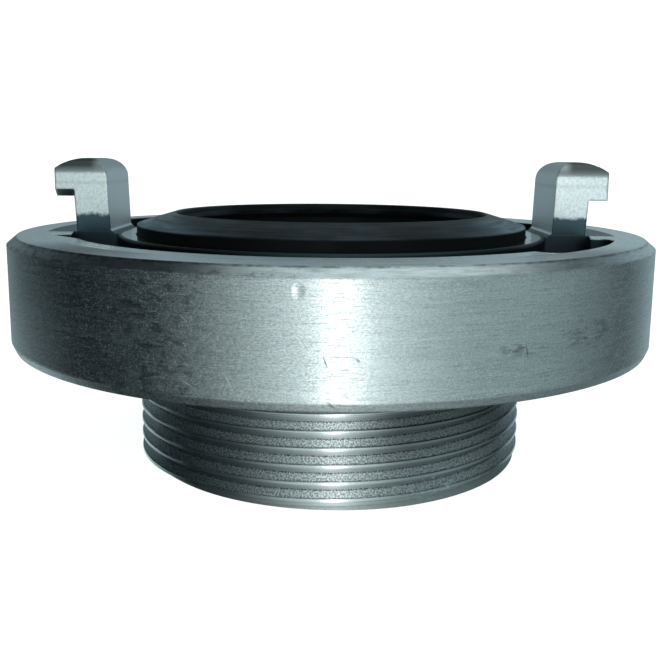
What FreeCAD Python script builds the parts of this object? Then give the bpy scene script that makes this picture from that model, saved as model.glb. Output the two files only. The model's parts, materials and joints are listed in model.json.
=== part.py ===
import FreeCAD, Part
import math
import os

# A fixed half of a symmetrical two-lug hose coupling, size C-52, with a G 2 male pipe thread.
# One turned and milled aluminium body carries a rubber sealing ring in its collar.
# The origin is the centre of the thread's end face, and +Z points out of the coupling face.
# The lugs stand on +X and -X. Two such halves meet face to face: each one's lugs drop through
# the other's openings and are turned under its lip. All lengths are in millimetres.

# Pipe thread G 2, right-hand
THREAD_MAJOR_D = 59.614
THREADS_PER_INCH = 11
THREAD_DEPTH = 1.4
THREAD_FLANK_DEG = 27.5
THREAD_ROOT_FLAT = 0.4
THREAD_LENGTH = 18.8
THREAD_CREST_Z = 13.2
THREAD_LEAD = 0.63
THREAD_LEAD_HEIGHT = 0.9
RELIEF_WIDTH = 4.6
RELIEF_CLEARANCE = 0.28
GROOVE_OVERCUT = 0.4

# Waterway
BORE_D = 46.0

# Ring
RING_D = 96.0
RING_HEIGHT = 15.6
RIM_CHAMFER_WIDTH = 1.3
RIM_CHAMFER_HEIGHT = 1.1
FOOT_CHAMFER_WIDTH = 0.45
FOOT_CHAMFER_HEIGHT = 1.05

# Lip and the channel under it
LIP_THICKNESS = 2.4
RAMP_RISE = 1.2
CHANNEL_D = 84.8
CHANNEL_DEPTH = 9.4
CHANNEL_BEVEL = 0.6

# Lugs
LUG_DISTANCE = 66.0
LUG_WIDTH = 13.6
LUG_HEIGHT = 10.85
HOOK_UNDERSIDE = 5.2
HOOK_TIP_D = 83.1
STEM_D = 77.6
STEM_DRAFT = 0.25
STEM_CLEARANCE = 0.3
LUG_DOME_RADIUS = 7.0
LUG_DOME_REACH = 3.7
LUG_CORNER_RADIUS = 2.8
LUG_END_RADIUS = 2.6
LUG_INNER_DRAFT = 0.3
LUG_ROOT_REACH = 1.5
LUG_ROOT_BEVEL = 0.6
LEAD_IN_WIDTH = 1.6
LEAD_IN_HEIGHT = 1.1

# Openings in the lip, as angles from the lug on +X, counter-clockwise seen from above
OPENING_FROM_DEG = -50.0
OPENING_TO_DEG = -17.0
OPENING_ROUND = 2.0
NOTCH_FROM_DEG = 16.0
NOTCH_TO_DEG = 28.0

# Collar and seat of the sealing ring
COLLAR_DROP = 0.3
COLLAR_ROOT_D = 65.2
COLLAR_BEVEL = 0.25
SEAT_DEPTH = 6.25
SEAT_NECK = 2.65
SEAT_UNDERCUT_D = 62.0

# Sealing ring
SEAL_D = 59.66
SEAL_SHOULDER = 1.18
SEAL_LIP_D = 47.66
SEAL_LIP_HEIGHT = 2.98
SEAL_BASE_BORE_D = 48.4
SEAL_WALL = 2.6
SEAL_BASE_HEIGHT = 1.6
SEAL_LIP_THICKNESS = 0.9
SEAL_CLEARANCE = 0.15
SEAL_BEVEL = 0.25

# Worked out from the values above
THREAD_R = THREAD_MAJOR_D / 2
PITCH = 25.4 / THREADS_PER_INCH
ROOT_R = THREAD_R - THREAD_DEPTH
BORE_R = BORE_D / 2
RING_R = RING_D / 2
FACE_Z = THREAD_LENGTH + RING_HEIGHT
STEM_R = STEM_D / 2
HOOK_TIP_R = HOOK_TIP_D / 2
LIP_R = STEM_R + STEM_CLEARANCE
CHANNEL_R = CHANNEL_D / 2
CHANNEL_Z = FACE_Z - CHANNEL_DEPTH
LIP_UNDER_Z = FACE_Z - LIP_THICKNESS
LUG_INNER_X = LUG_DISTANCE / 2
LUG_DOME_X = LUG_INNER_X + LUG_DOME_REACH
LUG_TOP_Z = FACE_Z + LUG_HEIGHT
HOOK_Z = FACE_Z + HOOK_UNDERSIDE
COLLAR_Z = FACE_Z - COLLAR_DROP
SEAL_R = SEAL_D / 2
SEAT_R = SEAL_R + SEAL_CLEARANCE
UNDERCUT_R = SEAT_UNDERCUT_D / 2
UNDERCUT_Z = COLLAR_Z - SEAT_NECK
SEAT_Z = COLLAR_Z - SEAT_DEPTH
EMBED = 0.4
AXIS = FreeCAD.Vector(0, 0, 1)
CENTRE = FreeCAD.Vector(0, 0, 0)


def section(corners):
    """A face in the XZ plane. Each corner is x, z and the length that its bevel takes off each side."""
    points = [FreeCAD.Vector(x, 0, z) for x, z, _ in corners]
    outline = []
    for i, (_, _, bevel) in enumerate(corners):
        here = points[i]
        if bevel == 0:
            outline.append(here)
            continue
        for other in (points[i - 1], points[(i + 1) % len(points)]):
            outline.append(here + (other - here).normalize() * bevel)
    return Part.Face(Part.makePolygon(outline + outline[:1]))


def turned(corners):
    """A section turned once round the axis."""
    return section(corners).revolve(CENTRE, AXIS, 360)


def both_sides(shape):
    """The shape and its copy on the other side of the axis."""
    opposite = shape.copy()
    opposite.rotate(CENTRE, AXIS, 180)
    return [shape, opposite]


def polar(radius, degrees, z):
    """A point at a radius and an angle."""
    angle = math.radians(degrees)
    return FreeCAD.Vector(radius * math.cos(angle), radius * math.sin(angle), z)


def helical(corners, pitch, height, radius):
    """A section carried up a right-hand helix that starts on +X at the height of the origin."""
    spine = Part.makeLongHelix(pitch, height, radius)
    pipe = Part.BRepOffsetAPI.MakePipeShell(Part.Wire(spine.Edges))
    pipe.setFrenetMode(True)
    pipe.add(section(corners).OuterWire)
    pipe.build()
    pipe.makeSolid()
    return pipe.shape()


def body_blank():
    """The turned blank, from the thread's end up to the coupling face, with its seal seat."""
    thread_top = THREAD_LENGTH - RELIEF_WIDTH
    relief_r = ROOT_R - RELIEF_CLEARANCE
    rim_r = RING_R - RIM_CHAMFER_WIDTH
    return turned([
        (BORE_R, 0, 0),
        (THREAD_R - THREAD_LEAD, 0, 0),
        (THREAD_R, THREAD_LEAD_HEIGHT, 0),
        (THREAD_R, thread_top, 0),
        (relief_r, thread_top, 0),
        (relief_r, THREAD_LENGTH, 0),
        (RING_R - FOOT_CHAMFER_WIDTH, THREAD_LENGTH, 0),
        (RING_R, THREAD_LENGTH + FOOT_CHAMFER_HEIGHT, 0),
        (RING_R, FACE_Z - RIM_CHAMFER_HEIGHT, 0),
        (rim_r, FACE_Z, 0),
        (LIP_R, FACE_Z, 0),
        (LIP_R, LIP_UNDER_Z, 0),
        (CHANNEL_R, LIP_UNDER_Z, 0),
        (CHANNEL_R, CHANNEL_Z, CHANNEL_BEVEL),
        (COLLAR_ROOT_D / 2, CHANNEL_Z, 0),
        (COLLAR_ROOT_D / 2, COLLAR_Z, COLLAR_BEVEL),
        (SEAT_R, COLLAR_Z, 0),
        (SEAT_R, UNDERCUT_Z, 0),
        (UNDERCUT_R, UNDERCUT_Z, 0),
        (UNDERCUT_R, SEAT_Z, 0),
        (BORE_R, SEAT_Z, 0),
    ])


def thread_groove():
    """The helical groove between the crests. It starts below the end and runs out in the relief."""
    slope = math.tan(math.radians(THREAD_FLANK_DEG))
    half_root = THREAD_ROOT_FLAT / 2
    half_mouth = half_root + (THREAD_DEPTH + GROOVE_OVERCUT) * slope
    # A crest passes the front, three quarters of a turn after +X, at THREAD_CREST_Z.
    on_x = THREAD_CREST_Z - PITCH / 2 - 0.75 * PITCH
    turns_down = math.ceil((on_x + half_mouth) / PITCH)
    start = on_x - turns_down * PITCH
    end = THREAD_LENGTH - RELIEF_WIDTH / 2
    mouth_r = THREAD_R + GROOVE_OVERCUT
    groove = helical([
        (ROOT_R, half_root, 0),
        (ROOT_R, -half_root, 0),
        (mouth_r, -half_mouth, 0),
        (mouth_r, half_mouth, 0),
    ], PITCH, end - start, THREAD_R)
    groove.translate(FreeCAD.Vector(0, 0, start))
    return groove


def ramp():
    """The wedge under the lip that draws the other half's hook down as it is turned."""
    from_deg = NOTCH_TO_DEG - 180
    sweep = OPENING_FROM_DEG - from_deg
    low = LIP_UNDER_Z - RAMP_RISE
    wedge = helical([
        (LIP_R, low, 0),
        (CHANNEL_R + EMBED, low, 0),
        (CHANNEL_R + EMBED, LIP_UNDER_Z + EMBED, 0),
        (LIP_R, LIP_UNDER_Z + EMBED, 0),
    ], RAMP_RISE * 360 / sweep, RAMP_RISE, LIP_R)
    wedge.rotate(CENTRE, AXIS, from_deg)
    return wedge


def lip_cutter(edges):
    """An outline under the lip, carried up through it."""
    outline = Part.Face(Part.Wire([edge.toShape() for edge in edges]))
    return outline.extrude(FreeCAD.Vector(0, 0, LIP_THICKNESS + EMBED))


def opening():
    """The gap in the lip that lets the other half's lug in, with the mill's round corners."""
    inner = (COLLAR_ROOT_D / 2 + LIP_R) / 2
    start = polar(CHANNEL_R, OPENING_FROM_DEG, LIP_UNDER_Z)
    middle = polar(CHANNEL_R, (OPENING_FROM_DEG + OPENING_TO_DEG) / 2, LIP_UNDER_Z)
    end = polar(CHANNEL_R, OPENING_TO_DEG, LIP_UNDER_Z)
    inner_start = polar(inner, OPENING_FROM_DEG, LIP_UNDER_Z)
    inner_end = polar(inner, OPENING_TO_DEG, LIP_UNDER_Z)
    cutter = lip_cutter([
        Part.Arc(start, middle, end),
        Part.LineSegment(end, inner_end),
        Part.LineSegment(inner_end, inner_start),
        Part.LineSegment(inner_start, start),
    ])
    corners = [
        edge for edge in cutter.Edges
        if edge.BoundBox.ZLength > LIP_THICKNESS
        and math.hypot(edge.CenterOfMass.x, edge.CenterOfMass.y) > LIP_R
    ]
    return cutter.makeFillet(OPENING_ROUND, corners)


def notch():
    """The small run-out beside the lug, full width at the lug and tapering to the lip's edge."""
    inner = (COLLAR_ROOT_D / 2 + LIP_R) / 2
    points = [
        polar(inner, NOTCH_FROM_DEG, LIP_UNDER_Z),
        polar(CHANNEL_R, NOTCH_FROM_DEG, LIP_UNDER_Z),
        polar(LIP_R, NOTCH_TO_DEG, LIP_UNDER_Z),
        polar(inner, NOTCH_TO_DEG, LIP_UNDER_Z),
    ]
    return lip_cutter([
        Part.LineSegment(here, points[(i + 1) % len(points)])
        for i, here in enumerate(points)
    ])


def lug():
    """The lug on +X: a root across the channel, a stem inside the lip and a hook with a domed top."""
    half = LUG_WIDTH / 2
    outer = CHANNEL_R + EMBED
    foot_z = CHANNEL_Z - EMBED
    root_x = LUG_INNER_X - LUG_ROOT_REACH
    inner_top_x = LUG_INNER_X + LUG_INNER_DRAFT

    def at(x, z):
        return FreeCAD.Vector(x, -half, z)

    def on_dome(x):
        return at(x, LUG_TOP_Z - LUG_DOME_RADIUS + math.sqrt(LUG_DOME_RADIUS ** 2 - (x - LUG_DOME_X) ** 2))

    corners = [
        on_dome(outer),
        at(outer, foot_z),
        at(root_x, foot_z),
        at(root_x, COLLAR_Z),
        at(LUG_INNER_X - LUG_ROOT_BEVEL, COLLAR_Z),
        at(LUG_INNER_X, COLLAR_Z + LUG_ROOT_BEVEL),
        on_dome(inner_top_x),
    ]
    outline = [Part.LineSegment(corners[i], corners[i + 1]) for i in range(len(corners) - 1)]
    outline.append(Part.Arc(corners[-1], on_dome(LUG_DOME_X), corners[0]))
    profile = Part.Face(Part.Wire([edge.toShape() for edge in outline]))
    block = profile.extrude(FreeCAD.Vector(0, LUG_WIDTH, 0))
    inner_corner = [
        edge for edge in block.Edges
        if edge.BoundBox.YLength > half and abs(edge.CenterOfMass.x - inner_top_x) < EMBED / 2
        and edge.CenterOfMass.z > HOOK_Z
    ]
    block = block.makeFillet(LUG_CORNER_RADIUS, inner_corner)
    reach_in = BORE_R
    envelope = turned([
        (reach_in, foot_z, 0),
        (outer, foot_z, 0),
        (outer, FACE_Z, 0),
        (STEM_R - STEM_DRAFT, FACE_Z, 0),
        (STEM_R, HOOK_Z, 0),
        (HOOK_TIP_R, HOOK_Z, 0),
        (HOOK_TIP_R, LUG_TOP_Z + EMBED, 0),
        (reach_in, LUG_TOP_Z + EMBED, 0),
    ])
    return block.common(envelope).common(lug_ends()).cut(lead_in())


def lug_ends():
    """The lug's outline seen along X, with its two round top edges, as a prism."""
    half = LUG_WIDTH / 2
    prism = Part.makeBox(
        LUG_INNER_X, LUG_WIDTH, LUG_TOP_Z - CHANNEL_Z + EMBED,
        FreeCAD.Vector(BORE_R, -half, CHANNEL_Z - EMBED),
    )
    top_edges = [
        edge for edge in prism.Edges
        if edge.BoundBox.XLength > LUG_INNER_X / 2 and edge.CenterOfMass.z > FACE_Z
    ]
    return prism.makeFillet(LUG_END_RADIUS, top_edges)


def lead_in():
    """The bevel under the hook's leading end, which lets it ride on to the ramp."""
    end_y = LUG_WIDTH / 2
    points = [
        FreeCAD.Vector(LUG_INNER_X, end_y - LEAD_IN_WIDTH, HOOK_Z),
        FreeCAD.Vector(LUG_INNER_X, end_y + EMBED, HOOK_Z),
        FreeCAD.Vector(LUG_INNER_X, end_y + EMBED, HOOK_Z + LEAD_IN_HEIGHT * (1 + EMBED / LEAD_IN_WIDTH)),
    ]
    bevel = Part.Face(Part.makePolygon(points + points[:1]))
    wedge = bevel.extrude(FreeCAD.Vector(HOOK_TIP_R, 0, 0))
    stem = Part.makeCylinder(STEM_R, HOOK_UNDERSIDE * 2, FreeCAD.Vector(0, 0, FACE_Z))
    return wedge.cut(stem)


def coupling_body():
    """The body: blank, openings, ramps, lugs and thread."""
    cutters = both_sides(opening()) + both_sides(notch())
    additions = both_sides(ramp()) + both_sides(lug())
    body = body_blank().cut(cutters).fuse(additions)
    return body.removeSplitter().cut(thread_groove())


def sealing_ring():
    """The lip seal: a foot held in the undercut, a wall and a lip that reaches inwards and up."""
    foot_r = UNDERCUT_R - SEAL_CLEARANCE
    foot_top = UNDERCUT_Z - SEAL_CLEARANCE
    lip_r = SEAL_LIP_D / 2
    base_r = SEAL_BASE_BORE_D / 2
    hollow_r = SEAL_R - SEAL_WALL
    lip_z = FACE_Z + SEAL_LIP_HEIGHT
    hollow_top = FACE_Z + SEAL_SHOULDER - SEAL_LIP_THICKNESS
    return turned([
        (base_r, SEAT_Z, 0),
        (foot_r, SEAT_Z, 0),
        (foot_r, foot_top, 0),
        (SEAL_R, foot_top, 0),
        (SEAL_R, FACE_Z + SEAL_SHOULDER, SEAL_BEVEL),
        (lip_r, lip_z, 0),
        (lip_r, lip_z - SEAL_LIP_THICKNESS, 0),
        (hollow_r, hollow_top, 0),
        (hollow_r, SEAT_Z + SEAL_BASE_HEIGHT, 0),
        (base_r, SEAT_Z + SEAL_BASE_HEIGHT, 0),
    ])


def main():
    os.makedirs("parts", exist_ok=True)
    pieces = {
        "coupling_body": coupling_body(),
        "sealing_ring": sealing_ring(),
    }
    for name, shape in pieces.items():
        shape.exportStep(os.path.join("parts", name + ".step"))


main()
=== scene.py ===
import json
import math
from types import SimpleNamespace

import bmesh
import bpy
from mathutils import Matrix, Vector


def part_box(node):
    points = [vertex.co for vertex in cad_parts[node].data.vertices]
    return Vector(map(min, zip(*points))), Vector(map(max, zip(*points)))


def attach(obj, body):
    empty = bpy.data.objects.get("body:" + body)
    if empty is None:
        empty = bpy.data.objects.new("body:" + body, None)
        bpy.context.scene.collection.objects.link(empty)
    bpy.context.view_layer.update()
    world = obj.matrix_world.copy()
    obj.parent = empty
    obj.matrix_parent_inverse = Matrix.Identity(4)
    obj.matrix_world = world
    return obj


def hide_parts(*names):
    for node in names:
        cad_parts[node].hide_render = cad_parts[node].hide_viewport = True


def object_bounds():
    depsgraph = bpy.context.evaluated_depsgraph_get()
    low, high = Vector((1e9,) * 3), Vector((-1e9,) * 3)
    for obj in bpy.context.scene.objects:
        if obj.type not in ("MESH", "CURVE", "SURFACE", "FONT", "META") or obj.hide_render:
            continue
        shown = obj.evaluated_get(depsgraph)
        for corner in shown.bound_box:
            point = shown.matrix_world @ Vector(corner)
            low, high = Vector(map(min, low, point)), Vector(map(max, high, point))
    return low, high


# A fixed hose coupling half, seen from slightly above its coupling face. Lengths are in metres
# unless a name ends in _MM, and places are in the part's own frame: +Z out of the coupling face,
# the lugs on +X and -X, and the camera on the -Y side.
# A turn is an angle in degrees round the axis, 0 in front and positive towards +X.
# A place on the ring's wall is (along, height): millimetres round the wall from the front,
# positive towards +X, and millimetres above the thread's end face.

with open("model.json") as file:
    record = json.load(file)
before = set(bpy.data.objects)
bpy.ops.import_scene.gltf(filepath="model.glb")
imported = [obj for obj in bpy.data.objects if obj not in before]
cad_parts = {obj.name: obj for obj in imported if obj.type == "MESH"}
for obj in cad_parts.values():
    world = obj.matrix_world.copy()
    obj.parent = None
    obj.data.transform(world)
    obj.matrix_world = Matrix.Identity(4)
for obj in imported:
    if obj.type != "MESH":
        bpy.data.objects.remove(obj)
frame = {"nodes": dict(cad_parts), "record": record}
cad_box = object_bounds()

MM = 0.001


def in_mm(length):
    """A length from the frame in millimetres, to the nearest micrometre."""
    return round(length / MM, 3)


def mount_z_mm(name):
    """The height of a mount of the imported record, in millimetres."""
    return next(in_mm(mount["pos_m"][2]) for mount in frame["record"]["mounts"] if mount["name"] == name)


# Camera, as fitted to the photograph's outlines, with its pitch and roll in radians
PHOTO_PX = 665
SENSOR_MM = 36.0
CAMERA_PLACE_MM = (0.0, -136.8, 45.46)
CAMERA_PITCH = 0.171
CAMERA_ROLL = 0.009
FOCAL_PX = 869.5
CENTRE_PX = (330.55, 308.67)
CLIP_START = 0.01
CLIP_END = 20.0

# Ring, collar and lugs, as in the solids
RING_R_MM = in_mm(cad_box[1][0])
RING_FOOT_Z_MM = 18.8
FACE_Z_MM = mount_z_mm("lug_face")
RIM_INNER_R_MM = RING_R_MM - 1.3
RIM_Z_MM = FACE_Z_MM - 1.1
FOOT_CHAMFER_Z_MM = RING_FOOT_Z_MM + 1.05
CHANNEL_R_MM = 42.4
COLLAR_R_MM = 32.6
COLLAR_Z_MM = FACE_Z_MM - 0.3
LUG_TOP_Z_MM = in_mm(cad_box[1][2])
LUG_SIDE_Y_MM = 6.8
LUG_ROOT_X_MM = 31.5

# Thread, as in the solids, and the radius that parts its outside from the waterway
THREAD_PITCH_MM = 25.4 / 11
THREAD_CREST_Z_MM = 13.2
THREAD_TOP_Z_MM = 14.2
STEM_MIDDLE_R_MM = 26.0

# Shares of one pitch, counted down from a crest's top edge: half a crest, and the root's lower end
HALF_CREST = 0.1
ROOT_END = 0.69
# Painted shadow lines along the thread, at a crest's top edge and at the root's end: share of the pitch,
# half width, shade
THREAD_SHADOW_LINES = (
    (0.985, 0.024, 0.3),
    (ROOT_END + 0.01, 0.05, 0.1),
)
# How far the shading of the root and of the torn flanks leans outward
ROOT_LIFT = 5.0
FLANK_LIFT = 1.8

# Sealing ring
SEAL_R_MM = 29.83
SEAL_SHOULDER_Z_MM = FACE_Z_MM + 1.18
SEAL_LIP_R_MM = 23.83
SEAL_LIP_Z_MM = FACE_Z_MM + 2.98
SEAL_FOOT_BORE_R_MM = 24.2
SEAL_FOOT_TOP_MM = 3.45
SEAL_FLOOR_MM = 1.6
SEAL_WALL_MM = 2.6
SEAL_LIP_MM = 0.9
SEAL_SEGMENTS = 256
SEAL_CORNER_STEPS = 5

# One unit of height in both materials' relief, and the radius of the metal's rounded edges
RELIEF_MM = 0.02
EDGE_ROUNDING_MM = 0.45
EDGE_ROUNDING_SAMPLES = 4

# Colours
# Painted shade under the lugs' hooks, at their roots
LUG_ROOT_SHADE = (0.06, 0.09, 0.11, 1.0)
# Painted shadow on the lugs' broad sides below their cast skin, where the ring's front lip shades them
LUG_SHADOW_BELOW_CAST_SKIN = (0.07, 0.11, 0.13, 1.0)
# Painted shade inside the channel between collar and lip
CHANNEL_SHADE = (0.05, 0.075, 0.085, 1.0)
RUBBER = (0.003, 0.004, 0.0045, 1.0)
# Dust on the seal's top, made paler to stand as a painted sheen as well
RUBBER_DUST_AND_SHEEN = (0.42, 0.56, 0.64, 1.0)
# Painted highlight along the seal's lip edge
RUBBER_LIP_HIGHLIGHT = (0.09, 0.12, 0.13, 1.0)
FLOOR_TONES = ((0.89, 0.9, 0.9, 1.0), (0.9, 0.9, 0.9, 1.0))
WHITE = (1.0, 1.0, 1.0, 1.0)

# Random strokes on the wall: lean in degrees, length, width, the noise above which they show, seed
BRIGHT_SCRATCHES = (
    (33.0, 1.1, 0.1, 0.67, 3.0),
    (-52.0, 0.9, 0.1, 0.68, 9.0),
    (82.0, 0.6, 0.1, 0.68, 17.0),
    (1.0, 3.5, 0.09, 0.66, 23.0),
)
DARK_SCRATCHES = (
    (1.0, 3.0, 0.11, 0.64, 31.0),
    (-35.0, 0.5, 0.14, 0.74, 41.0),
)
# Single marks on the wall: start, end, width, and whether the metal shines there
MARKS = (
    ((-3.6, 27.3), (-2.0, 25.1), 0.12, True),
    ((-0.85, 25.2), (-0.2, 23.6), 0.1, False),
    ((-0.3, 20.1), (0.6, 19.2), 0.22, False),
    ((2.75, 24.8), (3.2, 24.4), 0.22, False),
    ((-5.3, 27.5), (-4.9, 26.7), 0.14, True),
    ((29.2, 34.2), (32.0, 33.2), 0.2, False),
    ((30.2, 34.3), (33.2, 33.2), 0.16, False),
    ((22.4, 25.6), (22.9, 23.6), 0.14, False),
    ((-20.9, 28.1), (-18.3, 26.9), 0.24, False),
    ((-21.9, 25.4), (-19.7, 24.9), 0.22, False),
    ((-17.2, 22.1), (-14.2, 20.5), 0.14, True),
    ((-11.8, 23.7), (-10.0, 20.2), 0.14, True),
)
# Smudges on the wall: centre, half the length round it, half the height
SMUDGES = (
    ((-22.0, 29.5), 4.5, 3.6),
    ((-21.0, 25.4), 4.0, 1.6),
    ((22.0, 25.0), 6.0, 1.4),
    ((33.0, 25.6), 7.0, 2.6),
)
# The dent, in the same form, and how deep it is in units of relief
DENT = ((-3.35, 31.9), 0.85, 1.15)
DENT_DEPTH = 6.0

# Studio: soft cards round the part as turn of the middle, half width, strength and colour
FRONT_CARDS = (
    (3.0, 9.5, 1.75, (1.0, 1.0, 0.99)),
    (8.0, 42.0, 0.2, (1.0, 1.0, 0.98)),
    (-5.0, 56.0, 0.62, (0.82, 1.0, 0.99)),
    (54.0, 88.0, 0.34, (0.76, 0.99, 1.01)),
    (-58.0, 36.0, 0.04, (0.74, 0.98, 1.02)),
    (-140.0, 45.0, 0.045, (0.74, 0.98, 1.02)),
)
# The same, with the turn counted from behind
REAR_CARDS = (
    (0.0, 68.0, 0.34, (0.72, 0.97, 1.05)),
    (35.0, 35.0, 0.22, (0.74, 0.98, 1.04)),
)
# Heights in degrees over which their light fades: towards the ground, and above the cards
GROUND_FADE = (-62.0, -34.0)
FRONT_FADE = (34.0, 12.0)
REAR_FADE = (48.0, 15.0)
# Fill that the photographed side hardly sees, as height of the middle, half width, strength and
# colour, with the turns that it covers as middle and half width
FILL_COLOUR = (0.78, 0.98, 1.02)
LOW_FILL = (-26.0, 19.0, 0.85, FILL_COLOUR)
LOW_FILL_BEHIND = (-18.0, 75.0)
HIGH_FILL = (46.0, 26.0, 0.32, FILL_COLOUR)
HIGH_FILL_IN_FRONT = (0.0, 105.0)
HIGH_FILL_BEHIND = (5.0, 44.0)
# The card overhead: strength and colour, the X and Z parts of its direction, and the share of
# that direction where its light starts and where it is full
TOP_CARD = (0.68, (0.84, 1.0, 1.01))
TOP_CARD_DIRECTION = (0.2, 0.98)
TOP_CARD_FADE = (0.75, 1.0)
DARK_ROOM = (0.008, 0.013, 0.015)


class Graph:
    """Adds shader nodes to a tree and links them."""

    def __init__(self, tree):
        self.tree = tree
        tree.nodes.clear()

    def add(self, kind, inputs=None, **settings):
        """A new node with its settings, and its inputs set or linked."""
        node = self.tree.nodes.new(kind)
        for name, value in settings.items():
            setattr(node, name, value)
        for key, value in (inputs or {}).items():
            self.put(node.inputs[key], value)
        return node

    def put(self, socket, value):
        """Links the value to the socket if it is one itself, and otherwise sets it."""
        if isinstance(value, bpy.types.NodeSocket):
            self.tree.links.new(value, socket)
        else:
            socket.default_value = value

    def math(self, operation, *values):
        node = self.add("ShaderNodeMath", dict(enumerate(values)), operation=operation)
        return node.outputs[0]

    def vector_math(self, operation, *values):
        node = self.add("ShaderNodeVectorMath", dict(enumerate(values)), operation=operation)
        return node.outputs[0]

    def total(self, *values):
        result = values[0]
        for value in values[1:]:
            result = self.math("ADD", result, value)
        return result

    def product(self, *values):
        result = values[0]
        for value in values[1:]:
            result = self.math("MULTIPLY", result, value)
        return result

    def ramp(self, value, low, high, bottom=0.0, top=1.0):
        """A smooth step from bottom to top as value goes from low to high."""
        return self.add(
            "ShaderNodeMapRange",
            {"Value": value, "From Min": low, "From Max": high, "To Min": bottom, "To Max": top},
            interpolation_type="SMOOTHSTEP",
        ).outputs[0]

    def lobe(self, value, centre, half_width):
        """1 where value is centre, falling smoothly to 0 at half_width on both sides."""
        away = self.math("ABSOLUTE", self.math("SUBTRACT", value, centre))
        return self.ramp(away, half_width, 0.0)

    def band(self, value, low, high, soft):
        """1 from low to high, with soft edges inside."""
        return self.product(self.ramp(value, low, low + soft), self.ramp(value, high, high - soft))

    def mix(self, share, one, other):
        """The colour one where share is 0, and other where it is 1."""
        return self.mixed("RGBA", share, one, other, inputs=(6, 7), output=2)

    def blend(self, share, one, other):
        """The number one where share is 0, and other where it is 1."""
        return self.mixed("FLOAT", share, one, other, inputs=(2, 3), output=0)

    def mixed(self, kind, share, one, other, inputs, output):
        """A Mix node's result. Its sockets go by number, because every kind of it has the same names."""
        node = self.add("ShaderNodeMix", {0: share, inputs[0]: one, inputs[1]: other}, data_type=kind)
        return node.outputs[output]

    def scaled(self, colour, share):
        """The colour times a number."""
        node = self.add("ShaderNodeVectorMath", {0: colour, "Scale": share}, operation="SCALE")
        return node.outputs[0]

    def noise(self, vector, scale, detail=2.0, roughness=0.5):
        inputs = {"Vector": vector, "Scale": scale, "Detail": detail, "Roughness": roughness}
        return self.add("ShaderNodeTexNoise", inputs).outputs[0]

    def vector(self, x, y, z):
        return self.add("ShaderNodeCombineXYZ", {"X": x, "Y": y, "Z": z}).outputs[0]

    def bearing(self, x, y):
        """The angle in degrees of the direction (x, y), 0 along y and positive towards x."""
        return self.math("DEGREES", self.math("ARCTAN2", x, y))

    def surface(self, inputs):
        """The material's surface: a principled shader with these inputs."""
        shader = self.add("ShaderNodeBsdfPrincipled", inputs)
        self.add("ShaderNodeOutputMaterial", {"Surface": shader.outputs[0]})


class Skin:
    """Colour, roughness and height of a surface, to which layers are added."""

    def __init__(self, graph, colour, roughness, height):
        self.graph = graph
        self.colour = colour
        self.roughness = roughness
        self.height = height
        self.outward = 0.0

    def lift(self, share, amount):
        """Leans the shading outward from the axis, as small torn facets do."""
        self.outward = self.graph.total(self.outward, self.graph.product(share, amount))

    def lay(self, share, colour=None, roughness=None, shade=None, height=None):
        """Adds a layer where share is over 0. Shade darkens by a factor, and height raises."""
        if shade is not None:
            darker = self.graph.vector_math("MULTIPLY", self.colour, (shade, shade, shade))
            self.colour = self.graph.mix(share, self.colour, darker)
        if colour is not None:
            self.colour = self.graph.mix(share, self.colour, colour)
        if roughness is not None:
            self.roughness = self.graph.blend(share, self.roughness, roughness)
        if height is not None:
            self.height = self.graph.total(self.height, self.graph.product(share, height))


def grey(level):
    """Bare aluminium's slightly blue grey at a brightness from 0 to 1."""
    return (level * 0.94, level * 0.99, level, 1.0)


def lathe_space(graph):
    """Sockets for a place on a turned part, in millimetres and degrees."""
    metres = graph.add("ShaderNodeTexCoord").outputs["Object"]
    place = graph.vector_math("MULTIPLY", metres, (1 / MM, 1 / MM, 1 / MM))
    x, y, z = graph.add("ShaderNodeSeparateXYZ", {"Vector": place}).outputs
    radius = graph.math("SQRT", graph.total(graph.product(x, x), graph.product(y, y)))
    turn = graph.bearing(x, graph.math("MULTIPLY", y, -1.0))
    return SimpleNamespace(
        place=place, x=x, y=y, z=z, radius=radius, turn=turn,
        x_share=graph.math("DIVIDE", x, radius), y_share=graph.math("DIVIDE", y, radius),
        along=graph.math("MULTIPLY", turn, math.radians(1.0) * RING_R_MM),
    )


def turning_lines(graph, at, across, lines_per_mm, turn_scale):
    """Noise drawn out around the axis: across is the length measured across the lines."""
    around = graph.vector(
        graph.product(at.x_share, turn_scale),
        graph.product(at.y_share, turn_scale),
        graph.product(across, lines_per_mm),
    )
    return graph.noise(around, 1.0, 3.0)


def wall_noise(graph, at, along_per_mm, up_per_mm, seed, detail, roughness=0.5):
    """Noise on the wall or thread with its own fineness along and up."""
    place = graph.vector(graph.product(at.along, along_per_mm), graph.product(at.z, up_per_mm), seed)
    return graph.noise(place, 1.0, detail, roughness)


def leaning(graph, along, up, cos, sin):
    """The two lengths turned by an angle: along a stroke, and across it."""
    drawn = graph.total(graph.product(along, cos), graph.product(up, sin))
    side = graph.total(graph.product(along, -sin), graph.product(up, cos))
    return drawn, side


def scratches(graph, at, degrees, length_mm, width_mm, threshold, seed):
    """Short random strokes on the wall that lean by an angle."""
    angle = math.radians(degrees)
    drawn, side = leaning(graph, at.along, at.z, math.cos(angle), math.sin(angle))
    place = graph.vector(graph.product(drawn, 1 / length_mm), graph.product(side, 1 / width_mm), seed)
    return graph.ramp(graph.noise(place, 1.0, 1.0), threshold, threshold + 0.05)


def stroke(graph, at, start, end, width_mm):
    """One straight mark on the wall, from start to end."""
    run, rise = end[0] - start[0], end[1] - start[1]
    length = math.hypot(run, rise)
    along = graph.math("SUBTRACT", at.along, (start[0] + end[0]) / 2)
    up = graph.math("SUBTRACT", at.z, (start[1] + end[1]) / 2)
    drawn, side = leaning(graph, along, up, run / length, rise / length)
    return graph.product(graph.lobe(drawn, 0.0, length / 2 + width_mm), graph.lobe(side, 0.0, width_mm))


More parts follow.
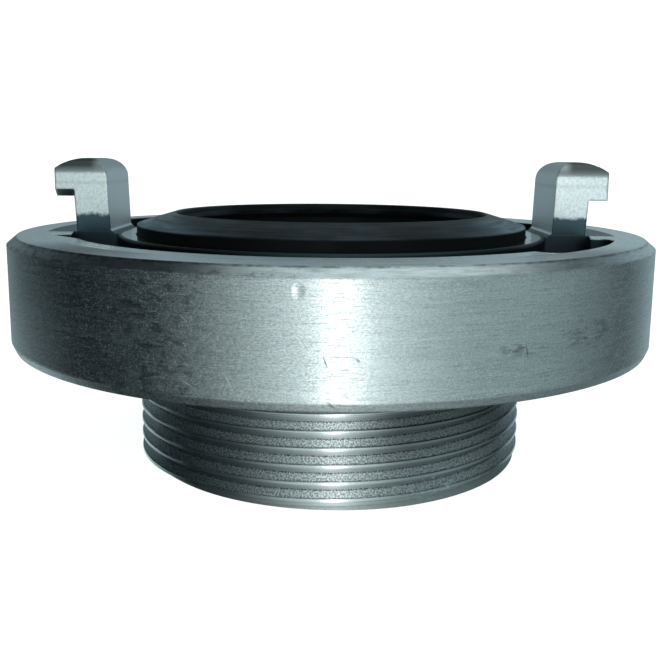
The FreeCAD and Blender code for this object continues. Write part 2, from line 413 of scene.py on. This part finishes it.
def spot(graph, at, centre, half_along, half_high):
    """A soft oval spot on the wall."""
    along = graph.product(graph.math("SUBTRACT", at.along, centre[0]), 1 / half_along)
    up = graph.product(graph.math("SUBTRACT", at.z, centre[1]), 1 / half_high)
    away = graph.math("SQRT", graph.total(graph.product(along, along), graph.product(up, up)))
    return graph.ramp(away, 1.0, 0.0)


def wear_wall(graph, at, skin):
    """The ring's outer wall: mottle, specks, scratches, single marks, smudges and a dent."""
    wall = graph.ramp(at.radius, RIM_INNER_R_MM - 0.1, RIM_INNER_R_MM + 0.5)

    mottle = wall_noise(graph, at, 2.6, 6.5, seed=1.0, detail=3.0, roughness=0.75)
    more_on_left = graph.ramp(at.turn, 6.0, -16.0, 0.6, 1.0)
    skin.lay(graph.product(wall, graph.ramp(mottle, 0.6, 0.36), more_on_left), shade=0.55)
    skin.lay(wall, height=graph.product(mottle, 0.5))

    specks = graph.ramp(graph.noise(at.place, 6.5, 1.0, 0.5), 0.62, 0.7)
    handled = graph.ramp(graph.noise(at.place, 0.09, 3.0, 0.6), 0.3, 0.6, 0.35, 1.0)
    skin.lay(graph.product(wall, specks, handled), colour=grey(1.0), roughness=0.7)

    for row in BRIGHT_SCRATCHES:
        mark = graph.product(wall, scratches(graph, at, *row), 0.8)
        skin.lay(mark, colour=grey(1.0), roughness=0.62, height=-0.5)
    for row in DARK_SCRATCHES:
        mark = graph.product(wall, scratches(graph, at, *row), 0.8)
        skin.lay(mark, shade=0.6, height=-0.4)
    for start, end, width, shines in MARKS:
        mark = graph.product(wall, stroke(graph, at, start, end, width))
        if shines:
            skin.lay(mark, colour=grey(1.0), roughness=0.6, height=-0.8)
        else:
            skin.lay(mark, shade=0.4, roughness=0.45, height=-1.2)

    ragged = graph.ramp(wall_noise(graph, at, 0.35, 1.1, seed=5.0, detail=4.0, roughness=0.65), 0.47, 0.6)
    smudged = graph.total(*[spot(graph, at, *row) for row in SMUDGES])
    skin.lay(graph.product(wall, smudged, ragged, 0.9), shade=0.4)
    blotched = graph.ramp(wall_noise(graph, at, 0.5, 0.9, seed=27.0, detail=5.0, roughness=0.7), 0.5, 0.6)
    left_front = graph.lobe(at.turn, -24.0, 14.0)
    skin.lay(graph.product(wall, blotched, left_front, 0.9), shade=0.45)
    skin.lay(graph.product(wall, spot(graph, at, *DENT)), height=-DENT_DEPTH)


def past_rim_edge(graph, at):
    """1 at the radii of the ring's two chamfers and its wall."""
    return graph.ramp(at.radius, RIM_INNER_R_MM - 0.15, RIM_INNER_R_MM - 0.05)


def rim_wear_and_painted_light(graph, at, skin):
    """The chamfer round the face: burnished in front, grimy and in painted shade on the left, with a
    painted shade line on its inner edge and a painted highlight on its lower edge.
    """
    outer = past_rim_edge(graph, at)
    rim = graph.product(outer, graph.ramp(at.z, RIM_Z_MM - 0.02, RIM_Z_MM + 0.02))
    skin.lay(rim, colour=grey(0.97), roughness=0.3)
    # Painted shade: the chamfer darker towards the left
    skin.lay(graph.product(rim, graph.ramp(at.along, -8.0, -20.0)), shade=0.6)

    grimy = graph.ramp(wall_noise(graph, at, 0.35, 0.8, seed=4.0, detail=4.0, roughness=0.7), 0.5, 0.62)
    # Grime, laid thicker to the left so that it also stands as painted shade there
    grime_and_shade_on_left = graph.product(rim, grimy, graph.ramp(at.along, 4.0, -14.0, 0.1, 0.75))
    skin.lay(grime_and_shade_on_left, shade=0.35, roughness=0.42)

    patchy = graph.ramp(wall_noise(graph, at, 0.7, 1.0, seed=2.0, detail=3.0), 0.4, 0.65)
    # Painted shade: a dark line along the chamfer's inner edge, broken in patches
    inner_edge = graph.lobe(at.radius, RIM_INNER_R_MM + 0.1, 0.26)
    inner_line = graph.product(inner_edge, graph.ramp(at.z, RIM_Z_MM, RIM_Z_MM + 0.1))
    skin.lay(graph.product(inner_line, graph.blend(0.6, 1.0, patchy)), shade=0.3)

    shade_top_face(graph, at, skin)

    streaky = wall_noise(graph, at, 0.35, 6.0, seed=8.0, detail=3.0, roughness=0.6)
    skin.lay(graph.product(rim, graph.ramp(streaky, 0.55, 0.4), 0.8), shade=0.75)
    # Painted highlight: a bright line along the chamfer's lower edge, broken in patches
    edge_highlight = graph.product(outer, graph.lobe(at.z, RIM_Z_MM, 0.13), patchy)
    skin.lay(graph.product(edge_highlight, 0.8), colour=grey(1.0), roughness=0.5)


def shade_top_face(graph, at, skin):
    """The top face outside the channel is darker and duller to the left and right of the front: painted
    shade where it would mirror the lugs' bright sides.
    """
    across = graph.band(at.radius, CHANNEL_R_MM - 0.4, RIM_INNER_R_MM + 0.1, 0.1)
    top_face = graph.product(across, graph.ramp(at.z, FACE_Z_MM - 0.2, FACE_Z_MM - 0.1))
    beside_front = graph.lobe(graph.math("ABSOLUTE", at.turn), 42.0, 20.0)
    skin.lay(graph.product(top_face, beside_front), shade=0.55, roughness=0.5)


def wear_foot(graph, at, skin):
    """The chamfer under the ring is granular."""
    foot = graph.product(
        past_rim_edge(graph, at),
        graph.ramp(at.z, FOOT_CHAMFER_Z_MM + 0.03, FOOT_CHAMFER_Z_MM - 0.03),
        graph.ramp(at.z, RING_FOOT_Z_MM - 0.2, RING_FOOT_Z_MM - 0.1),
    )
    granular = graph.noise(at.place, 3.0, 3.0, 0.7)
    skin.lay(foot, roughness=0.4, height=graph.product(granular, 2.5))
    skin.lay(graph.product(foot, graph.ramp(granular, 0.55, 0.4), 0.6), shade=0.7)


def lug_finish_and_shade(graph, at, skin):
    """The lugs: as-cast skin high on both broad sides, painted shadow below it, and painted shade on the
    top and at the root.
    """
    away_y = graph.math("ABSOLUTE", at.y)
    above_face = graph.ramp(at.z, FACE_Z_MM + 0.05, FACE_Z_MM + 0.1)
    lug = graph.product(above_face, graph.ramp(at.radius, LUG_ROOT_X_MM, LUG_ROOT_X_MM + 0.3))
    skin.lay(lug, colour=grey(0.76), roughness=0.34)

    side = graph.product(lug, graph.ramp(away_y, LUG_SIDE_Y_MM - 0.12, LUG_SIDE_Y_MM - 0.02))
    ragged_z = graph.math("SUBTRACT", at.z, graph.product(graph.noise(at.place, 0.7, 5.0, 0.75), 1.7))
    cast_low, cast_high = FACE_Z_MM + 1.5, FACE_Z_MM + 2.1
    cast = graph.product(side, graph.ramp(ragged_z, cast_low, cast_high))
    grain = graph.noise(at.place, 2.2, 4.0, 0.7)
    skin.lay(cast, colour=graph.mix(graph.ramp(grain, 0.35, 0.6), grey(0.8), grey(1.0)), roughness=0.32)
    skin.lay(cast, height=graph.product(grain, 2.6))
    # Painted shadow: the broad sides below the cast skin made dark
    below = graph.product(side, graph.ramp(ragged_z, cast_high, cast_low))
    skin.lay(below, colour=LUG_SHADOW_BELOW_CAST_SKIN, roughness=0.25)

    # Painted shade on the lug's top: a faint darker band 3.6 mm below it, and the top itself dark, most of
    # all outside
    from_top = graph.math("SUBTRACT", LUG_TOP_Z_MM, at.z)
    skin.lay(graph.product(lug, graph.lobe(from_top, 3.6, 0.5), 0.4), shade=0.7)
    more_outside = graph.ramp(at.radius, 35.0, 36.5, 0.35, 1.0)
    skin.lay(graph.product(lug, graph.ramp(from_top, 2.3, 0.9), more_outside), shade=0.2)

    # Painted shade under the hook: the lug's root and the face beside it made dark
    root = graph.product(
        graph.band(at.radius, LUG_ROOT_X_MM - 0.3, CHANNEL_R_MM + 0.6, 0.3),
        graph.ramp(graph.math("ABSOLUTE", at.x), LUG_ROOT_X_MM - 1.0, LUG_ROOT_X_MM - 0.5),
        graph.ramp(away_y, LUG_SIDE_Y_MM + 0.8, LUG_SIDE_Y_MM + 0.2),
        graph.ramp(at.z, FACE_Z_MM + 0.12, FACE_Z_MM + 0.05),
    )
    skin.lay(root, colour=LUG_ROOT_SHADE, roughness=0.4)


def collar_shade_and_highlight(graph, at, skin):
    """The flat collar round the seal, smooth and in painted shade, with a painted highlight on its outer
    corner.
    """
    flat = graph.product(
        graph.band(at.radius, SEAL_R_MM - 0.13, COLLAR_R_MM + 0.15, 0.02),
        graph.ramp(at.z, COLLAR_Z_MM - 0.4, COLLAR_Z_MM - 0.3),
        graph.ramp(at.z, COLLAR_Z_MM + 0.1, COLLAR_Z_MM + 0.05),
    )
    # Painted shade: the collar's flat made dark
    skin.lay(flat, colour=grey(0.42), roughness=0.12)
    # Painted highlight along the collar's outer corner
    corner = graph.product(flat, graph.ramp(at.radius, COLLAR_R_MM - 0.3, COLLAR_R_MM - 0.22))
    skin.lay(corner, colour=grey(1.0), roughness=0.3)


def shade_channel(graph, at, skin):
    """Inside the channel the turned surface is rough and in painted shade."""
    inside = graph.product(
        graph.band(at.radius, COLLAR_R_MM - 0.6, CHANNEL_R_MM + 0.8, 0.05),
        graph.ramp(at.z, FACE_Z_MM - 0.05, FACE_Z_MM - 0.2),
        graph.ramp(at.z, RING_FOOT_Z_MM + 0.2, RING_FOOT_Z_MM + 0.6),
    )
    skin.lay(inside, colour=CHANNEL_SHADE, roughness=0.45)


def cut_thread(graph, at, skin):
    """The thread: bright crests with painted shade fading below them, torn upper flanks, and painted shadow
    lines at their ragged edges.
    """
    outside = graph.ramp(at.radius, STEM_MIDDLE_R_MM, STEM_MIDDLE_R_MM + 0.4)
    cut_end, relief_start = THREAD_TOP_Z_MM + 0.2, THREAD_TOP_Z_MM + 0.35
    under_ring = graph.ramp(at.z, RING_FOOT_Z_MM + 0.1, RING_FOOT_Z_MM - 0.1)
    relief = graph.product(outside, graph.ramp(at.z, cut_end, relief_start), under_ring)
    # Painted shade in the relief under the ring
    skin.lay(relief, shade=0.5, roughness=0.4)
    zone = graph.product(outside, graph.ramp(at.z, relief_start, cut_end))
    # Painted shade, with some dirt: the whole cut thread a little darker under the ring
    skin.lay(zone, shade=0.85, roughness=0.19)

    down = down_the_pitch(graph, at)
    smooth = graph.product(zone, graph.ramp(down, ROOT_END, ROOT_END - 0.04))
    # Painted shade: each smooth band fades darker from the crest down to the root
    skin.lay(graph.product(smooth, graph.ramp(down, 0.05, ROOT_END)), shade=0.5, roughness=0.34)
    skin.lift(graph.product(smooth, graph.ramp(down, 0.12, 0.25)), ROOT_LIFT)

    flank = graph.product(zone, graph.ramp(down, ROOT_END - 0.02, ROOT_END + 0.02))
    skin.lift(flank, FLANK_LIFT)
    pitted = wall_noise(graph, at, 2.6, 6.0, seed=3.0, detail=3.0, roughness=0.7)
    flank_colour = graph.mix(graph.ramp(pitted, 0.42, 0.58), grey(0.4), grey(1.0))
    skin.lay(flank, colour=flank_colour, roughness=0.36)
    skin.lay(flank, height=pitted)

    ticks = graph.ramp(wall_noise(graph, at, 3.6, 0.6, seed=11.0, detail=2.0), 0.42, 0.58)
    for edge, width, shade in THREAD_SHADOW_LINES:
        # Painted shadow: ragged dark lines at each crest's top edge and at the root's end
        line = graph.product(zone, graph.lobe(down, edge, width), graph.blend(ticks, 0.3, 1.0))
        skin.lay(line, shade=shade, roughness=0.5)

    flecked = graph.ramp(wall_noise(graph, at, 2.6, 3.0, seed=19.0, detail=2.0, roughness=0.6), 0.64, 0.7)
    flecks = graph.product(zone, graph.band(down, ROOT_END + 0.05, 0.97, 0.05), flecked)
    skin.lay(flecks, colour=grey(0.95), roughness=0.6)

    thread_wear_and_shadow(graph, at, skin, zone)


def down_the_pitch(graph, at):
    """The share of a pitch below the nearest crest's top edge, made ragged by a noise."""
    rise = graph.math("DIVIDE", graph.math("SUBTRACT", at.z, THREAD_CREST_Z_MM), THREAD_PITCH_MM)
    phase = graph.math("SUBTRACT", rise, graph.math("DIVIDE", at.turn, 360.0))
    above = graph.math("SUBTRACT", graph.math("FRACT", graph.math("ADD", phase, 0.5)), 0.5)
    tear = wall_noise(graph, at, 1.9, 1.0, seed=7.0, detail=3.0, roughness=0.7)
    torn = graph.total(above, graph.product(graph.math("SUBTRACT", tear, 0.5), 0.1))
    return graph.math("FRACT", graph.math("SUBTRACT", HALF_CREST, torn))


def thread_wear_and_shadow(graph, at, skin, zone):
    """The thread in painted shadow of the ring on the right, most of all high up, scuffed low down there,
    and a darker, rougher grey at its end.
    """
    # Painted shadow of the ring on the right of the thread, strongest high up
    ring_shadow = graph.product(zone, graph.ramp(at.turn, 3.0, 20.0), graph.ramp(at.z, 3.0, 12.0, 0.3, 1.0))
    skin.lay(ring_shadow, shade=0.38)
    uneven = graph.ramp(wall_noise(graph, at, 0.5, 1.6, seed=13.0, detail=4.0, roughness=0.7), 0.52, 0.62)
    scuffed = graph.product(zone, graph.lobe(at.turn, 33.0, 22.0), graph.ramp(at.z, 4.6, 1.4), uneven)
    skin.lay(scuffed, colour=grey(1.0), roughness=0.6)
    end = graph.product(zone, graph.ramp(at.z, 1.1, 0.7))
    skin.lay(graph.product(end, 0.8), colour=grey(0.6), roughness=0.42)


def new_material(name):
    """A node material, and the graph that fills it."""
    material = bpy.data.materials.new(name)
    material.use_nodes = True
    return material, Graph(material.node_tree)


def turned_skin(graph, at):
    """Bare turned metal: fine and broad tool lines, blotches and grain."""
    across = graph.total(at.radius, graph.product(at.z, 1.37))
    fine = turning_lines(graph, at, across, 5.0, 7.0)
    broad = turning_lines(graph, at, across, 1.3, 3.0)
    blotch = graph.noise(at.place, 0.06, 4.0, 0.6)
    grain = graph.noise(at.place, 2.6, 2.0, 0.6)
    tone = graph.total(graph.product(fine, 0.5), graph.product(broad, 0.25), graph.product(blotch, 0.25))
    polish = graph.total(graph.product(broad, 0.6), graph.product(blotch, 0.4))
    return Skin(
        graph,
        colour=graph.mix(graph.ramp(tone, 0.36, 0.64), grey(0.8), grey(0.97)),
        roughness=graph.ramp(polish, 0.3, 0.7, 0.2, 0.31),
        height=graph.total(fine, graph.product(grain, 0.8)),
    )


def facing(graph, at, skin):
    """The shading normal: rounded at the edges of ring and lugs, and leaning out on the thread."""
    sharp = graph.add("ShaderNodeNewGeometry").outputs["Normal"]
    radius = EDGE_ROUNDING_MM * MM
    rounded = graph.add("ShaderNodeBevel", {"Radius": radius}, samples=EDGE_ROUNDING_SAMPLES).outputs[0]
    normal = graph.mix(graph.ramp(at.z, RING_FOOT_Z_MM - 1.0, RING_FOOT_Z_MM - 0.8), sharp, rounded)
    out_x = graph.product(at.x_share, skin.outward)
    out_y = graph.product(at.y_share, skin.outward)
    normal = graph.vector_math("ADD", normal, graph.vector(out_x, out_y, 0.0))
    return graph.vector_math("NORMALIZE", normal)


def aluminium_material():
    """Turned aluminium with its wear and its thread, painted shade and highlights in places, and highlights
    drawn across the tool lines.
    """
    material, graph = new_material("turned_aluminium")
    at = lathe_space(graph)
    skin = turned_skin(graph, at)
    wear_wall(graph, at, skin)
    rim_wear_and_painted_light(graph, at, skin)
    wear_foot(graph, at, skin)
    lug_finish_and_shade(graph, at, skin)
    collar_shade_and_highlight(graph, at, skin)
    shade_channel(graph, at, skin)
    cut_thread(graph, at, skin)
    bump = graph.add("ShaderNodeBump", {
        "Strength": 0.5,
        "Distance": RELIEF_MM * MM,
        "Height": skin.height,
        "Normal": facing(graph, at, skin),
    })
    tangent = graph.add("ShaderNodeTangent", direction_type="RADIAL", axis="Z")
    graph.surface({
        "Base Color": skin.colour,
        "Metallic": 1.0,
        "Roughness": skin.roughness,
        "Anisotropic": 0.5,
        "Anisotropic Rotation": 0.25,
        "Normal": bump.outputs[0],
        "Tangent": tangent.outputs[0],
    })
    return material


def rubber_material():
    """Matt black rubber, its top pale and dusty, most of all near the lugs, the pale colour standing partly
    for a painted sheen, with a painted highlight along the lip's edge.
    """
    material, graph = new_material("black_rubber")
    at = lathe_space(graph)
    smudge = graph.noise(at.place, 0.09, 4.0, 0.6)
    streak = turning_lines(graph, at, at.radius, 1.2, 3.0)
    top = graph.product(
        graph.ramp(at.z, SEAL_SHOULDER_Z_MM - 0.25, SEAL_SHOULDER_Z_MM + 0.05),
        graph.ramp(at.radius, SEAL_LIP_R_MM - 0.1, SEAL_LIP_R_MM + 0.2),
    )
    near_lugs = graph.ramp(graph.math("ABSOLUTE", at.x), 16.0, 29.0)
    patches = graph.ramp(graph.total(graph.product(smudge, 0.6), graph.product(streak, 0.4)), 0.35, 0.7)
    # Dust and painted sheen: paler than dust alone, to make up for the top's low specular level
    dust_and_sheen = graph.total(
        graph.product(patches, 0.2),
        graph.product(near_lugs, graph.ramp(patches, 0.0, 1.0, 0.45, 1.0)),
    )
    colour = graph.mix(graph.product(top, dust_and_sheen, 0.8), RUBBER, RUBBER_DUST_AND_SHEEN)
    # Painted highlight: a lighter band along the lip's edge
    lip_highlight = graph.product(graph.lobe(at.radius, SEAL_LIP_R_MM + 0.25, 0.3), top)
    grain = graph.noise(at.place, 3.5, 2.0, 0.6)
    bump = graph.add("ShaderNodeBump", {"Strength": 0.2, "Distance": RELIEF_MM * MM, "Height": grain})
    graph.surface({
        "Base Color": graph.mix(graph.product(lip_highlight, 0.35), colour, RUBBER_LIP_HIGHLIGHT),
        "Roughness": graph.ramp(smudge, 0.3, 0.7, 0.5, 0.68),
        "Specular IOR Level": 0.2,
        "Normal": bump.outputs[0],
    })
    return material


def floor_material():
    """Plain white floor, bright enough to leave only a faint shadow."""
    material, graph = new_material("pale_floor")
    place = graph.add("ShaderNodeTexCoord").outputs["Object"]
    mottle = graph.noise(place, 6.0, 2.0)
    graph.surface({
        "Base Color": graph.mix(mottle, *FLOOR_TONES),
        "Roughness": 0.9,
        "Specular IOR Level": 0.0,
        "Emission Color": WHITE,
        "Emission Strength": 0.9,
    })
    return material


def new_object(name, bm):
    """A smooth-shaded mesh object made from a bmesh, which is freed."""
    mesh = bpy.data.meshes.new(name)
    bm.to_mesh(mesh)
    bm.free()
    for polygon in mesh.polygons:
        polygon.use_smooth = True
    obj = bpy.data.objects.new(name, mesh)
    bpy.context.scene.collection.objects.link(obj)
    return obj


def rounded_outline(corners, steps):
    """The closed outline's points, each corner (radius, height, rounding) as a short arc."""
    points = []
    for i, (here_r, here_z, rounding) in enumerate(corners):
        here = Vector((here_r, here_z))
        before = Vector(corners[i - 1][:2])
        after = Vector(corners[(i + 1) % len(corners)][:2])
        back = (before - here).normalized()
        on = (after - here).normalized()
        half = back.angle(on) / 2
        reach = rounding / math.tan(half)
        centre = here + (back + on).normalized() * (rounding / math.sin(half))
        start = here + back * reach - centre
        end = here + on * reach - centre
        turn = start.angle_signed(end)
        for step in range(steps + 1):
            angle = -turn * step / steps
            cos, sin = math.cos(angle), math.sin(angle)
            points.append(centre + Vector((start.x * cos - start.y * sin, start.x * sin + start.y * cos)))
    return points


def turned_mesh(name, outline, segments):
    """A closed solid of revolution from an outline in radius and height, in millimetres."""
    bm = bmesh.new()
    rings = []
    for step in range(segments):
        angle = 2 * math.pi * step / segments
        cos, sin = math.cos(angle), math.sin(angle)
        rings.append([bm.verts.new((r * cos * MM, r * sin * MM, z * MM)) for r, z in outline])
    count = len(outline)
    for step in range(segments):
        here, following = rings[step], rings[(step + 1) % segments]
        for i in range(count):
            j = (i + 1) % count
            bm.faces.new((here[i], following[i], following[j], here[j]))
    bmesh.ops.recalc_face_normals(bm, faces=bm.faces)
    return new_object(name, bm)


def make_seal():
    """The lip seal with its moulded round edges, in the place of the plain CAD ring."""
    low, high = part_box("sealing_ring")
    foot_z = low.z / MM
    foot_r = high.x / MM
    hollow_r = SEAL_R_MM - SEAL_WALL_MM
    outline = rounded_outline([
        (SEAL_FOOT_BORE_R_MM, foot_z, 0.3),
        (foot_r, foot_z, 0.4),
        (foot_r, foot_z + SEAL_FOOT_TOP_MM, 0.4),
        (SEAL_R_MM, foot_z + SEAL_FOOT_TOP_MM, 0.15),
        (SEAL_R_MM, SEAL_SHOULDER_Z_MM, 0.3),
        (SEAL_LIP_R_MM, SEAL_LIP_Z_MM, 0.3),
        (SEAL_LIP_R_MM, SEAL_LIP_Z_MM - SEAL_LIP_MM, 0.2),
        (hollow_r, SEAL_SHOULDER_Z_MM - SEAL_LIP_MM, 0.9),
        (hollow_r, foot_z + SEAL_FLOOR_MM, 0.9),
        (SEAL_FOOT_BORE_R_MM, foot_z + SEAL_FLOOR_MM, 0.3),
    ], SEAL_CORNER_STEPS)
    seal = turned_mesh("seal_rubber", outline, SEAL_SEGMENTS)
    seal.data.materials.append(rubber_material())
    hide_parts("sealing_ring")
    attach(seal, "root")


def finish_body():
    """The CAD body keeps its shape and gets its metal."""
    metal = aluminium_material()
    for slot in frame["nodes"]["coupling_body"].material_slots:
        slot.material = metal


def make_floor():
    """A pale floor that curves up far behind the part. Only the camera sees it."""
    half_width = 3.0
    front = -1.5
    bend_start = 1.2
    bend_radius = 0.8
    wall_top = 3.0
    steps = 16
    line = [(front, 0.0), (bend_start, 0.0)]
    for step in range(1, steps + 1):
        angle = math.pi / 2 * step / steps
        line.append((bend_start + bend_radius * math.sin(angle), bend_radius * (1 - math.cos(angle))))
    line.append((bend_start + bend_radius, wall_top))
    bm = bmesh.new()
    left = [bm.verts.new((-half_width, y, z)) for y, z in line]
    right = [bm.verts.new((half_width, y, z)) for y, z in line]
    for i in range(len(line) - 1):
        bm.faces.new((left[i], right[i], right[i + 1], left[i + 1]))
    floor = new_object("floor", bm)
    floor.data.materials.append(floor_material())
    floor.visible_glossy = False
    floor.visible_diffuse = False
    floor.visible_transmission = False
    floor.visible_shadow = False


def make_camera():
    """The camera at the photograph's place, tilted down and rolled a little."""
    data = bpy.data.cameras.new("camera")
    data.sensor_width = SENSOR_MM
    data.sensor_fit = "HORIZONTAL"
    data.lens = FOCAL_PX / PHOTO_PX * SENSOR_MM
    data.shift_x = (PHOTO_PX / 2 - CENTRE_PX[0]) / PHOTO_PX
    data.shift_y = (CENTRE_PX[1] - PHOTO_PX / 2) / PHOTO_PX
    data.clip_start = CLIP_START
    data.clip_end = CLIP_END
    camera = bpy.data.objects.new("camera", data)
    bpy.context.scene.collection.objects.link(camera)
    tilt = Matrix.Rotation(math.pi / 2 - CAMERA_PITCH, 4, "X") @ Matrix.Rotation(CAMERA_ROLL, 4, "Z")
    camera.matrix_world = Matrix.Translation(Vector(CAMERA_PLACE_MM) * MM) @ tilt
    bpy.context.scene.camera = camera


def card_lights(graph, cards, angle, mask):
    """For each card, how strongly it shines from every direction, and its colour."""
    lights = []
    for centre, half_width, strength, colour in cards:
        share = graph.product(graph.lobe(angle, centre, half_width), strength, mask)
        lights.append((share, colour))
    return lights


def make_world():
    """A dark studio with soft cards and fill, of which the camera itself sees plain white."""
    world = bpy.data.worlds.new("studio")
    bpy.context.scene.world = world
    world.use_nodes = True
    graph = Graph(world.node_tree)
    direction = graph.add("ShaderNodeTexCoord").outputs["Generated"]
    x, y, z = graph.add("ShaderNodeSeparateXYZ", {"Vector": direction}).outputs
    turn = graph.bearing(x, graph.math("MULTIPLY", y, -1.0))
    rear_turn = graph.bearing(x, y)
    height = graph.math("DEGREES", graph.math("ARCSINE", z))

    above_ground = graph.ramp(height, *GROUND_FADE, 0.3, 1.0)
    front_height = graph.product(graph.ramp(height, *FRONT_FADE, 0.12, 1.0), above_ground)
    rear_height = graph.product(graph.ramp(height, *REAR_FADE, 0.15, 1.0), above_ground)
    lights = card_lights(graph, FRONT_CARDS, turn, front_height)
    lights += card_lights(graph, REAR_CARDS, rear_turn, rear_height)

    behind = graph.lobe(rear_turn, *LOW_FILL_BEHIND)
    lights += card_lights(graph, [LOW_FILL], height, behind)
    both_ways = graph.total(graph.lobe(turn, *HIGH_FILL_IN_FRONT), graph.lobe(rear_turn, *HIGH_FILL_BEHIND))
    lights += card_lights(graph, [HIGH_FILL], height, both_ways)

    strength, colour = TOP_CARD
    to_x, to_z = TOP_CARD_DIRECTION
    towards_top = graph.total(graph.product(x, to_x), graph.product(z, to_z))
    lights.append((graph.ramp(towards_top, *TOP_CARD_FADE, 0.0, strength), colour))

    total = graph.vector(*DARK_ROOM)
    for share, colour in lights:
        total = graph.vector_math("ADD", total, graph.scaled(colour, share))
    seen = graph.add("ShaderNodeLightPath").outputs["Is Camera Ray"]
    shown = graph.mix(seen, total, WHITE)
    background = graph.add("ShaderNodeBackground", {"Color": shown, "Strength": 1.0})
    graph.add("ShaderNodeOutputWorld", {"Surface": background.outputs[0]})


bpy.context.scene.view_settings.view_transform = "Standard"
finish_body()
make_seal()
make_floor()
make_camera()
make_world()
